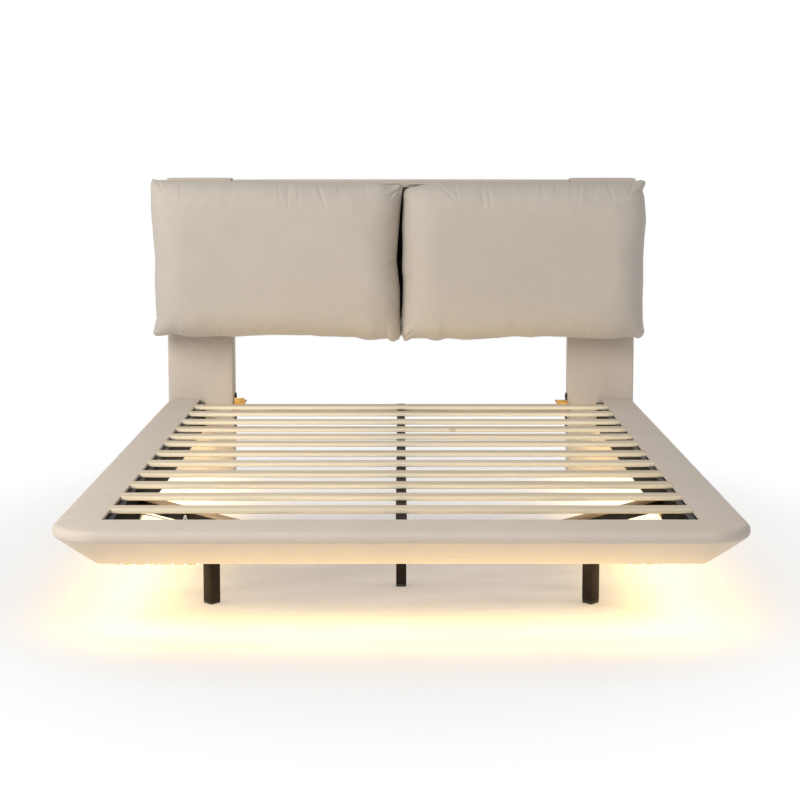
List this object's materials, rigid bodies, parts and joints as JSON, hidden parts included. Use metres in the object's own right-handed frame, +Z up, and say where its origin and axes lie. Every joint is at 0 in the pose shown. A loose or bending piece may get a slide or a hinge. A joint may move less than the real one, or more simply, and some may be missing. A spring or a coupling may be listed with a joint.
{
  "type": "platform bed",
  "caption": "Upholstered floating platform bed: wedge-shaped padded rails lit from below, pine slats on a black steel frame, and a two-post headboard with loose pillow cushions.",
  "frame": {"origin": "on the floor, in the middle of the bed's outline", "axes": "+X to the right seen from the foot end, +Y towards the headboard, +Z up"},
  "size_m": [1.893, 2.3, 1.1725],
  "materials": {
    "velvet": "matte",
    "timber": "matte",
    "board": "satin",
    "pine": "satin",
    "steel": "satin",
    "foot": "satin",
    "zinc": "satin",
    "plastic": "matte",
    "tape": "matte",
    "lining": "matte",
    "strip": "satin",
    "lead": "satin"
  },
  "bodies": {
    "bed_frame": {"foot_rail_cover": "velvet", "left_side_rail_cover": "velvet", "right_side_rail_cover": "velvet", "foot_rail_core": "timber", "left_side_rail_core": "timber", "right_side_rail_core": "timber", "foot_board": "board", "left_side_board": "board", "right_side_board": "board", "left_slat_tape": "tape", "right_slat_tape": "tape", "slat_01": "pine", "slat_02": "pine", "slat_03": "pine", "slat_04": "pine", "slat_05": "pine", "slat_06": "pine", "slat_07": "pine", "slat_08": "pine", "slat_09": "pine", "slat_10": "pine", "slat_11": "pine", "slat_12": "pine", "centre_beam": "steel", "front_centre_leg": "steel", "front_centre_pad": "plastic", "rear_centre_leg": "steel", "rear_centre_pad": "plastic", "head_cross_rail": "steel", "left_corner_brace": "steel", "right_corner_brace": "steel", "left_brace_side_bracket": "zinc", "right_brace_side_bracket": "zinc", "left_brace_foot_bracket": "zinc", "right_brace_foot_bracket": "zinc", "left_front_foot": "foot", "right_front_foot": "foot", "left_front_pad": "plastic", "right_front_pad": "plastic", "left_post_cover": "velvet", "right_post_cover": "velvet", "left_post_core": "timber", "right_post_core": "timber", "left_post_plate": "steel", "right_post_plate": "steel", "left_post_bracket": "zinc", "right_post_bracket": "zinc", "crossbar_cover": "velvet", "crossbar_core": "timber", "crossbar_lining": "lining", "left_cushion_tape": "tape", "right_cushion_tape": "tape", "foot_light_strip": "strip", "left_light_strip": "strip", "right_light_strip": "strip", "light_controller": "plastic", "power_gland": "plastic", "light_lead": "lead"},
    "left_head_cushion": {"left_cushion": "velvet"},
    "right_head_cushion": {"right_cushion": "velvet"}
  },
  "joints": [
    {"name": "left_cushion_pull", "type": "slide", "parent": "bed_frame", "child": "left_head_cushion", "axis": [0, -1, 0], "range_m": [0, 0.35]},
    {"name": "right_cushion_pull", "type": "slide", "parent": "bed_frame", "child": "right_head_cushion", "axis": [0, -1, 0], "range_m": [0, 0.35]}
  ]
}
